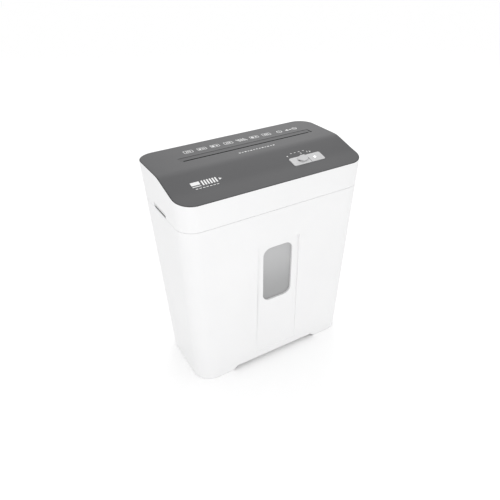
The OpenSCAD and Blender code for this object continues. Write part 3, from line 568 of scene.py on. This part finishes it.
# pocket for the switch plate, square to the slope
plate_centre = Vector((0.069, -0.045, top_height(-0.045)))
plate_turn = Matrix.Translation(plate_centre) @ Matrix.Rotation(math.radians(14.5), 4, "X")
plate_size = (0.055, 0.0188)
knob_x, lens_x = -0.006, 0.014


def plate_block(width, depth, radius, low, high, shift=(0, 0), segments=8):
    """A rounded block standing on the switch plate's own plane."""
    form = bmesh.new()
    for z in (low, high):
        rounded_face(form, width, depth, radius, z, segments)
    bmesh.ops.bridge_loops(form, edges=form.edges[:])
    bmesh.ops.translate(form, vec=(*shift, 0), verts=form.verts)
    bmesh.ops.transform(form, matrix=plate_turn, verts=form.verts)
    bmesh.ops.recalc_face_normals(form, faces=form.faces[:])
    return form


carve(cover_plate, plate_block(plate_size[0] + 0.0010, plate_size[1] + 0.0010, 0.0030,
                               -0.0012, 0.01))
carve(cover_plate, plate_block(0.0206, 0.0046, 0.0005, -0.006, 0.01, (knob_x, 0)))
carve(cover_plate, plate_block(0.0046, 0.0046, 0.00229, -0.006, 0.01, (lens_x, 0)))
soften(cover_plate, 0.0006, 3)
cover_grey = moulded_plastic("cover_grey", (0.088, 0.088, 0.091), 0.52, 2200, 0.00008, 0.03, 0.3)
cover_plate.data.materials.clear()
cover_plate.data.materials.append(cover_grey)
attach(cover_plate, "head")
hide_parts("top_cover")

# ---- Switch plate --------------------------------------------------------------------------
# Silver painted plate pressed into its pocket. A shallow line parts the slide's field from the
# lamp's, and a window slot under the grip lets its stem through.
switch_plate = as_piece("switch_plate", plate_block(*plate_size, 0.0025, -0.0012, 0.0004))
carve(switch_plate, plate_block(0.0194, 0.0034, 0.0004, -0.002, 0.002, (knob_x, 0)))
carve(switch_plate, plate_block(0.0041, 0.0041, 0.00204, -0.002, 0.002, (lens_x, 0)))
carve(switch_plate, plate_block(0.0010, 0.0090, 0.0002, -0.0002, 0.002, (0.0033, -0.0065), 2))
carve(switch_plate, plate_block(0.0322, 0.0058, 0.0006, -0.002, -0.0005, (knob_x, 0)))
soften(switch_plate, 0.00025, 2)


def silver_paint(name, colour, roughness):
    """Silver paint on plastic: fine metal flakes under a thin clear coat."""
    material = bpy.data.materials.new(name)
    material.use_nodes = True
    nodes, links = material.node_tree.nodes, material.node_tree.links
    shader = nodes["Principled BSDF"]
    shader.inputs["Metallic"].default_value = 0.35
    shader.inputs["Coat Weight"].default_value = 0.25
    shader.inputs["Coat Roughness"].default_value = 0.2
    place = nodes.new("ShaderNodeTexCoord")
    flakes = nodes.new("ShaderNodeTexVoronoi")
    flakes.inputs["Scale"].default_value = 5200
    flake_tint = nodes.new("ShaderNodeValToRGB")
    flake_tint.color_ramp.elements[0].color = (*[c * 0.9 for c in colour], 1)
    flake_tint.color_ramp.elements[1].color = (*[min(1, c * 1.08) for c in colour], 1)
    clouds = nodes.new("ShaderNodeTexNoise")
    clouds.inputs["Scale"].default_value = 220
    clouds.inputs["Detail"].default_value = 3
    gloss = nodes.new("ShaderNodeMapRange")
    gloss.inputs["To Min"].default_value = roughness - 0.06
    gloss.inputs["To Max"].default_value = roughness + 0.08
    links.new(place.outputs["Object"], flakes.inputs["Vector"])
    links.new(place.outputs["Object"], clouds.inputs["Vector"])
    links.new(flakes.outputs["Distance"], flake_tint.inputs["Fac"])
    links.new(flake_tint.outputs["Color"], shader.inputs["Base Color"])
    links.new(clouds.outputs["Fac"], gloss.inputs["Value"])
    links.new(gloss.outputs["Result"], shader.inputs["Roughness"])
    return material


switch_silver = silver_paint("switch_silver", (0.51, 0.51, 0.515), 0.36)
switch_plate.data.materials.clear()
switch_plate.data.materials.append(switch_silver)
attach(switch_plate, "head")
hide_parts("switch_bezel")

# ---- Slide grip ----------------------------------------------------------------------------
# Half-round thumb grip of silver painted ABS: it starts low along its curved front edge and rises
# to a ridge at the back. A stem joins it to a shutter under the plate and a foot under the cover.
grip = bmesh.new()
bmesh.ops.create_circle(grip, cap_ends=True, segments=72, radius=0.0087)
bmesh.ops.translate(grip, vec=(knob_x, 0.0046, 0.0006), verts=grip.verts)
bmesh.ops.bisect_plane(grip, geom=grip.verts[:] + grip.edges[:] + grip.faces[:],
                       plane_co=(0, 0.0060, 0), plane_no=(0, 1, 0), clear_outer=True)
raised = bmesh.ops.extrude_face_region(grip, geom=grip.faces[:])["geom"]
bmesh.ops.translate(grip, vec=(0, 0, 0.0046),
                    verts=[v for v in raised if isinstance(v, bmesh.types.BMVert)])
bmesh.ops.recalc_face_normals(grip, faces=grip.faces[:])
for lean, edge_height in ((-0.30, 0.0018), (-1.1, 0.0014)):
    bmesh.ops.bisect_plane(grip, geom=grip.verts[:] + grip.edges[:] + grip.faces[:],
                           plane_co=(0, -0.0041, edge_height),
                           plane_no=(0, lean, 1), clear_outer=True)
    bmesh.ops.holes_fill(grip, edges=[e for e in grip.edges if e.is_boundary])
for side in (-1, 1):
    bmesh.ops.bisect_plane(grip, geom=grip.verts[:] + grip.edges[:] + grip.faces[:],
                           plane_co=(knob_x + side * 0.0036, 0.006, 0.0047),
                           plane_no=(side * 0.75, 0, 1), clear_outer=True)
    bmesh.ops.holes_fill(grip, edges=[e for e in grip.edges if e.is_boundary])
bmesh.ops.recalc_face_normals(grip, faces=grip.faces[:])
bmesh.ops.transform(grip, matrix=plate_turn, verts=grip.verts)
slide_grip = as_piece("slide_grip", grip)
carve(slide_grip, plate_block(0.0056, 0.0026, 0.0003, -0.009, 0.0014, (knob_x, 0)), "UNION")
carve(slide_grip, plate_block(0.0194, 0.0050, 0.0005, -0.0011, -0.0006, (knob_x, 0)), "UNION")
carve(slide_grip, plate_block(0.0160, 0.0068, 0.0008, -0.0049, -0.0033, (knob_x, 0)), "UNION")
soften(slide_grip, 0.0003, 3, 24)
knob_silver = silver_paint("knob_silver", (0.60, 0.60, 0.605), 0.32)
slide_grip.data.materials.clear()
slide_grip.data.materials.append(knob_silver)
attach(slide_grip, "knob")
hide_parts("switch_knob")

# ---- Lamp lens -----------------------------------------------------------------------------
# Light pipe of clear styrene from the lamp on the board up to the plate, with a domed end. Its
# white glow is painted light: the lens gives off light of its own.
pipe_radius, pipe_length, dome_height = 0.0020, 0.0073, 0.28
pipe = bmesh.new()
bmesh.ops.create_uvsphere(pipe, u_segments=32, v_segments=16, radius=pipe_radius)
bmesh.ops.scale(pipe, vec=(1, 1, dome_height), verts=pipe.verts)
bmesh.ops.bisect_plane(pipe, geom=pipe.verts[:] + pipe.edges[:] + pipe.faces[:],
                       plane_co=(0, 0, 0), plane_no=(0, 0, -1), clear_outer=True)
rim = [e for e in pipe.edges if e.is_boundary]
drawn = bmesh.ops.extrude_edge_only(pipe, edges=rim)["geom"]
bmesh.ops.translate(pipe, vec=(0, 0, -pipe_length),
                    verts=[v for v in drawn if isinstance(v, bmesh.types.BMVert)])
bmesh.ops.holes_fill(pipe, edges=[e for e in pipe.edges if e.is_boundary])
bmesh.ops.translate(pipe, vec=(lens_x, 0, 0.0003), verts=pipe.verts)
bmesh.ops.transform(pipe, matrix=plate_turn, verts=pipe.verts)
bmesh.ops.recalc_face_normals(pipe, faces=pipe.faces[:])
lamp_lens = as_piece("lamp_lens", pipe)
soften(lamp_lens, 0.0001, 2)
light_lens = moulded_plastic("light_lens", (0.92, 0.94, 0.97), 0.2, 600, 0.00002, 0.01)
lens_shader = light_lens.node_tree.nodes["Principled BSDF"]
# painted highlight: the lens is made to shine white by itself
lens_shader.inputs["Emission Color"].default_value = (1, 1, 1, 1)
lens_shader.inputs["Emission Strength"].default_value = 0.8
lamp_lens.data.materials.append(light_lens)
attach(lamp_lens, "head")
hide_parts("indicator_lens")

# ---- Slot lining ---------------------------------------------------------------------------
# Black throat of the paper guide, standing inside the slot in the cover: four thin matt walls,
# carried up nearly to the slot's top so that their black is painted shade for the slot.
# A black lip along the slot's rear edge guides the sheet in from the trough; its black is painted
# shade too, thickening the slit's dark line.
lining_gap = 0.00005
lining = box_block((slot_x[0] + lining_gap, slot_y[0] + lining_gap, 0.3442),
                   (slot_x[1] - lining_gap, slot_y[1] - lining_gap, 0.3486))
bmesh.ops.delete(lining, geom=[f for f in lining.faces if abs(f.normal.z) > 0.5],
                 context="FACES_ONLY")
slot_lining = as_piece("slot_lining", lining)
lining_wall = slot_lining.modifiers.new("wall", "SOLIDIFY")
lining_wall.thickness = 0.0004
lining_wall.offset = -1
lining_wall.use_even_offset = True
slot_lining.data.materials.append(shade_sheet_black)
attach(slot_lining, "head")
rear_lip = as_piece("slot_lip", box_block((slot_x[0], slot_y[1] - 0.0002, 0.3480),
                                          (slot_x[1], slot_y[1] + 0.0011, 0.3490)))
soften(rear_lip, 0.0002, 2)
rear_lip.data.materials.append(shade_sheet_black)
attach(rear_lip, "head")

# ---- Printed marks -------------------------------------------------------------------------
# White pad-printed ink on the cover: a row of plain pictograms behind the slot, a dashed centring
# line in front of it, a sheet-and-strips sign on the left and small signs round the switch.
ink = bmesh.new()
ink_thick, ink_root = 0.00006, 0.0001


def lay_ink(form, centre, size=(1, 1), lean=0.0):
    """Scales a flat form in millimetres, puts it at a place on the cover and thickens it."""
    bmesh.ops.scale(form, vec=(size[0], size[1], 1), verts=form.verts)
    bmesh.ops.rotate(form, cent=(0, 0, 0), matrix=Matrix.Rotation(lean, 3, "Z"), verts=form.verts)
    bmesh.ops.scale(form, vec=(0.001, 0.001, 1), verts=form.verts)
    bmesh.ops.translate(form, vec=(centre[0] / 1000, centre[1] / 1000, 0), verts=form.verts)
    up = bmesh.ops.extrude_face_region(form, geom=form.faces[:])["geom"]
    raised = {v for v in up if isinstance(v, bmesh.types.BMVert)}
    for point in form.verts:
        point.co.z = top_height(point.co.y) + (ink_thick if point in raised else -ink_root)
    bmesh.ops.recalc_face_normals(form, faces=form.faces[:])
    part = bpy.data.meshes.new("ink_part")
    form.to_mesh(part)
    form.free()
    ink.from_mesh(part)
    bpy.data.meshes.remove(part)


def ink_bar(centre, size, lean=0.0):
    """A plain bar; long ones are divided so that they lie along the bend."""
    form = bmesh.new()
    bmesh.ops.create_grid(form, x_segments=1, y_segments=max(1, int(size[1] / 1.5)), size=0.5)
    lay_ink(form, centre, size, lean)


def ink_disc(centre, radius, sides=24, turn=0.0):
    """A filled disc, or a small polygon such as a triangle."""
    form = bmesh.new()
    bmesh.ops.create_circle(form, cap_ends=True, segments=sides, radius=radius)
    lay_ink(form, centre, (1, 1), turn)


def ink_frame(centre, size, radius, line):
    """A rounded frame of even line width."""
    form = bmesh.new()
    face = rounded_face(form, size[0], size[1], radius, 0, 5)
    bmesh.ops.inset_region(form, faces=[face], thickness=line, use_boundary=True,
                           use_even_offset=True)
    inner = max(form.faces, key=lambda f: len(f.verts))
    bmesh.ops.delete(form, geom=[inner], context="FACES")
    lay_ink(form, centre)


def ink_ring(centre, radius, line):
    """A ring."""
    ink_frame(centre, (2 * radius, 2 * radius), radius * 0.999, line)


# the row of signs, from the left: frames with strips, lists or arrows in them, with a bare set of
# strips fifth, then a ring and an arrow with a barred ring
sign_places = ((-78.5, 53.6), (-56, 53.6), (-34, 53.4), (-11, 53), (12.5, 53), (35.5, 53), (58, 53),
               (82, 51.6), (103.5, 51))
for number, (x, sign_y) in enumerate(sign_places):
    if number == 4:
        for step in (-6, -2, 2, 6):
            ink_bar((x + step, sign_y), (1.6, 11), math.radians(24))
        continue
    if number == 8:
        ink_disc((x - 7, sign_y), 3.9, 3, math.radians(90))
        ink_bar((x - 0.6, sign_y), (4.6, 2.4))
        ink_ring((x + 7.6, sign_y), 4.4, 1.0)
        ink_bar((x + 7.6, sign_y), (1.1, 8), math.radians(45))
        continue
    if number == 7:
        ink_ring((x, sign_y), 4.8, 1.0)
        ink_bar((x, sign_y), (0.9, 5))
        continue
    ink_frame((x, sign_y), (15, 10), 2, 0.8)
    if number % 3 == 0:
        for step in (-2.8, 0, 2.8):
            ink_bar((x + step, sign_y), (1.3, 5.6))
    elif number % 3 == 1:
        ink_disc((x - 3, sign_y), 2.2)
        ink_bar((x + 2.6, sign_y + 1.2), (5, 1.1))
        ink_bar((x + 2.6, sign_y - 1.4), (5, 1.1))
    else:
        ink_disc((x + 3, sign_y - 0.3), 2.7, 3, math.radians(90))
        ink_bar((x - 3, sign_y), (4.4, 4.4), math.radians(45))

# dashed centring line with a pointer at the slot's middle
for number in range(13):
    x = -16 + 59 * number / 12
    if number == 6:
        ink_disc((x, 7.4), 1.9, 3, math.radians(90))
    else:
        ink_bar((x, 6.9), (2.9, 1.5 if number % 2 else 2.3))

# a sheet going into strips
ink_bar((-110, -37.6), (13, 6.4))
ink_bar((-110, -43.6), (13, 1.3))
for strip in range(6):
    ink_bar((-99.6 + 4.1 * strip, -39.2), (2.3, 9.6))
ink_disc((-73.2, -39.2), 2.7, 3, math.radians(-90))
for strip in range(7):
    ink_bar((-112 + 5.2 * strip, -48.2), (3.4, 1.0))

# signs round the switch: arrow, rest dot, arrow, and two ticks towards the lamp
ink_disc((43.6, -30.2), 1.6, 3, math.radians(90))
for x in (52.6, 59.4, 66.7, 74.4):
    ink_bar((x, -26), (3.0, 0.8))
ink_ring((67.6, -30.2), 1.4, 0.45)
ink_bar((79, -30), (1.0, 2.8))
ink_disc((83.4, -31), 1.7, 3, math.radians(30))
printed_marks = as_piece("printed_marks", ink)
ink_white = moulded_plastic("ink_white", (0.80, 0.80, 0.80), 0.5, 1800, 0.00002, 0.06, 0.3)
printed_marks.data.materials.append(ink_white)
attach(printed_marks, "head")

# ---- Black mouldings inside ----------------------------------------------------------------
# Chassis, chute, paper guide, comb strippers, gearbox cover, motor end cap, sensor and switch
# bodies: glass filled polyamide, black, with faint flow lines from the mould.


def finish_nodes(material, *names):
    """Puts a finish on carried-over parts."""
    for name in names:
        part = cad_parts[name]
        if not part.data.materials:
            part.data.materials.append(material)
        for number in range(len(part.material_slots)):
            part.material_slots[number].link = "OBJECT"
            part.material_slots[number].material = material


chassis_black = moulded_plastic("chassis_black", (0.022, 0.022, 0.024), 0.5, 900, 0.00008,
                                0.25, 0.4)
gearbox_black = moulded_plastic("gearbox_black", (0.034, 0.035, 0.037), 0.42, 700, 0.0001, 0.2)
switch_black = moulded_plastic("switch_black", (0.030, 0.030, 0.031), 0.3, 2600, 0.00002, 0.1)
finish_nodes(chassis_black, "lower_chassis", "shred_chute", "paper_guide", "front_stripper",
             "rear_stripper")
finish_nodes(gearbox_black, "gearbox_cover", "motor_end_cap")
finish_nodes(switch_black, "mode_switch", "feed_sensor", "bin_switch", "thermal_cutout")

# ---- Nylon and rubber parts ----------------------------------------------------------------
# Natural acetal gears, a white fan and lever, the orange interlock plunger and the soft gland.
gear_nylon = moulded_plastic("gear_nylon", (0.72, 0.69, 0.60), 0.34, 500, 0.00006, 0.06)
gear_shader = gear_nylon.node_tree.nodes["Principled BSDF"]
gear_shader.inputs["Subsurface Weight"].default_value = 0.15
gear_shader.inputs["Subsurface Scale"].default_value = 0.002
nylon_white = moulded_plastic("nylon_white", (0.78, 0.77, 0.74), 0.38, 800, 0.00004, 0.04)
plunger_orange = moulded_plastic("plunger_orange", (0.80, 0.19, 0.02), 0.4, 900, 0.00005, 0.08)
gland_rubber = moulded_plastic("gland_rubber", (0.020, 0.020, 0.020), 0.72, 420, 0.00012,
                               0.2, 0.25)
finish_nodes(gear_nylon, "first_gear", "second_gear", "final_gear")
finish_nodes(nylon_white, "motor_fan", "feed_lever")
finish_nodes(plunger_orange, "interlock_plunger")
finish_nodes(gland_rubber, "cord_gland")

# ---- Metal parts ---------------------------------------------------------------------------
# Turned rods and shafts, stamped zinc plated plates, hardened cutters with an oil film, sintered
# pinions, bronze bushes, the drawn motor can and plated screws.


def worked_metal(name, colour, roughness, stretch, scale, depth, stain=0.12):
    """Metal with tool marks drawn out along one direction, cloudy plating and fine scratches."""
    material = bpy.data.materials.new(name)
    material.use_nodes = True
    nodes, links = material.node_tree.nodes, material.node_tree.links
    shader = nodes["Principled BSDF"]
    shader.inputs["Metallic"].default_value = 1.0
    place = nodes.new("ShaderNodeTexCoord")
    along = nodes.new("ShaderNodeMapping")
    along.inputs["Scale"].default_value = stretch
    marks = nodes.new("ShaderNodeTexNoise")
    marks.inputs["Scale"].default_value = scale
    marks.inputs["Detail"].default_value = 6
    clouds = nodes.new("ShaderNodeTexNoise")
    clouds.inputs["Scale"].default_value = 60
    clouds.inputs["Detail"].default_value = 5
    tint = nodes.new("ShaderNodeValToRGB")
    tint.color_ramp.elements[0].position = 0.35
    tint.color_ramp.elements[1].position = 0.68
    tint.color_ramp.elements[0].color = (*[c * (1 - stain) for c in colour], 1)
    tint.color_ramp.elements[1].color = (*[min(1, c * (1 + stain * 0.5)) for c in colour], 1)
    gloss = nodes.new("ShaderNodeMapRange")
    gloss.inputs["To Min"].default_value = max(0.05, roughness - 0.12)
    gloss.inputs["To Max"].default_value = roughness + 0.14
    relief = nodes.new("ShaderNodeBump")
    relief.inputs["Strength"].default_value = 0.4
    relief.inputs["Distance"].default_value = depth
    links.new(place.outputs["Object"], along.inputs["Vector"])
    links.new(along.outputs["Vector"], marks.inputs["Vector"])
    links.new(place.outputs["Object"], clouds.inputs["Vector"])
    links.new(clouds.outputs["Fac"], tint.inputs["Fac"])
    links.new(tint.outputs["Color"], shader.inputs["Base Color"])
    links.new(marks.outputs["Fac"], gloss.inputs["Value"])
    links.new(gloss.outputs["Result"], shader.inputs["Roughness"])
    links.new(marks.outputs["Fac"], relief.inputs["Height"])
    links.new(relief.outputs["Normal"], shader.inputs["Normal"])
    return material


turned_steel = worked_metal("turned_steel", (0.60, 0.60, 0.61), 0.28, (14, 1, 1), 320, 0.00002)
zinc_plate = worked_metal("zinc_plate", (0.66, 0.67, 0.66), 0.36, (1, 1, 0.2), 260, 0.00003, 0.2)
cutter_steel = worked_metal("cutter_steel", (0.44, 0.43, 0.42), 0.30, (1, 1, 1), 700, 0.00003, 0.25)
sintered_steel = worked_metal("sintered_steel", (0.34, 0.335, 0.33), 0.5, (1, 1, 1), 1500,
                              0.00005, 0.2)
oiled_bronze = worked_metal("oiled_bronze", (0.56, 0.36, 0.17), 0.42, (1, 1, 1), 1200, 0.00004, 0.2)
drawn_can = worked_metal("drawn_can", (0.58, 0.58, 0.57), 0.34, (0.15, 1, 1), 420, 0.00003, 0.1)
screw_zinc = worked_metal("screw_zinc", (0.70, 0.70, 0.67), 0.26, (1, 1, 1), 900, 0.00002, 0.15)
magnet_ferrite = worked_metal("magnet_ferrite", (0.075, 0.075, 0.08), 0.6, (1, 1, 1), 800,
                              0.00005, 0.2)
magnet_ferrite.node_tree.nodes["Principled BSDF"].inputs["Metallic"].default_value = 0.15
finish_nodes(turned_steel, "tie_rods", "gear_axles", "lever_pin", "motor_shaft",
             "front_cutter_shaft", "rear_cutter_shaft")
finish_nodes(zinc_plate, "gear_plate", "end_plate")
finish_nodes(cutter_steel, "front_cutter_discs", "rear_cutter_discs", "front_spacers",
             "rear_spacers")
finish_nodes(sintered_steel, "motor_pinion", "front_sync_gear", "rear_sync_gear")
finish_nodes(oiled_bronze, "shaft_bushings", "motor_bushes")
finish_nodes(drawn_can, "motor_can")
finish_nodes(screw_zinc, "housing_screws", "cover_screws", "plate_screws", "motor_screws",
             "gearbox_screws", "board_screws", "block_screws")
finish_nodes(magnet_ferrite, "motor_magnets")

# ---- Electrical parts ----------------------------------------------------------------------
# Enamelled copper windings, the green board with its tracks, a yellow film capacitor, the blue
# relay, a red lamp and the insulated leads.
winding_copper = worked_metal("winding_copper", (0.62, 0.24, 0.10), 0.3, (1, 30, 30), 60,
                              0.00012, 0.3)
winding_copper.node_tree.nodes["Principled BSDF"].inputs["Coat Weight"].default_value = 0.5
board_green = moulded_plastic("board_green", (0.015, 0.16, 0.055), 0.32, 400, 0.00003, 0.15)
board_nodes, board_links = board_green.node_tree.nodes, board_green.node_tree.links
board_shader = board_nodes["Principled BSDF"]
board_place = board_nodes.new("ShaderNodeTexCoord")
tracks = board_nodes.new("ShaderNodeTexBrick")
tracks.inputs["Color1"].default_value = (0.014, 0.15, 0.05, 1)
tracks.inputs["Color2"].default_value = (0.020, 0.19, 0.07, 1)
tracks.inputs["Mortar"].default_value = (0.04, 0.30, 0.12, 1)
tracks.inputs["Scale"].default_value = 90
tracks.inputs["Mortar Size"].default_value = 0.06
board_links.new(board_place.outputs["Object"], tracks.inputs["Vector"])
board_links.new(tracks.outputs["Color"], board_shader.inputs["Base Color"])
capacitor_yellow = moulded_plastic("capacitor_yellow", (0.72, 0.50, 0.05), 0.3, 500, 0.00003, 0.06)
relay_blue = moulded_plastic("relay_blue", (0.03, 0.11, 0.38), 0.3, 900, 0.00002, 0.08)
light_red = moulded_plastic("light_red", (0.62, 0.03, 0.03), 0.15, 500, 0.00001, 0.1)
light_red.node_tree.nodes["Principled BSDF"].inputs["Transmission Weight"].default_value = 0.4
wire_red = moulded_plastic("wire_red", (0.52, 0.02, 0.02), 0.4, 900, 0.00003, 0.12)
wire_black = moulded_plastic("wire_black", (0.022, 0.022, 0.024), 0.45, 900, 0.00003, 0.15)
finish_nodes(winding_copper, "motor_armature")
finish_nodes(board_green, "control_board")
finish_nodes(capacitor_yellow, "line_capacitor")
finish_nodes(relay_blue, "power_relay")
finish_nodes(light_red, "indicator_led")
finish_nodes(wire_red, "motor_leads")
finish_nodes(wire_black, "supply_lead")
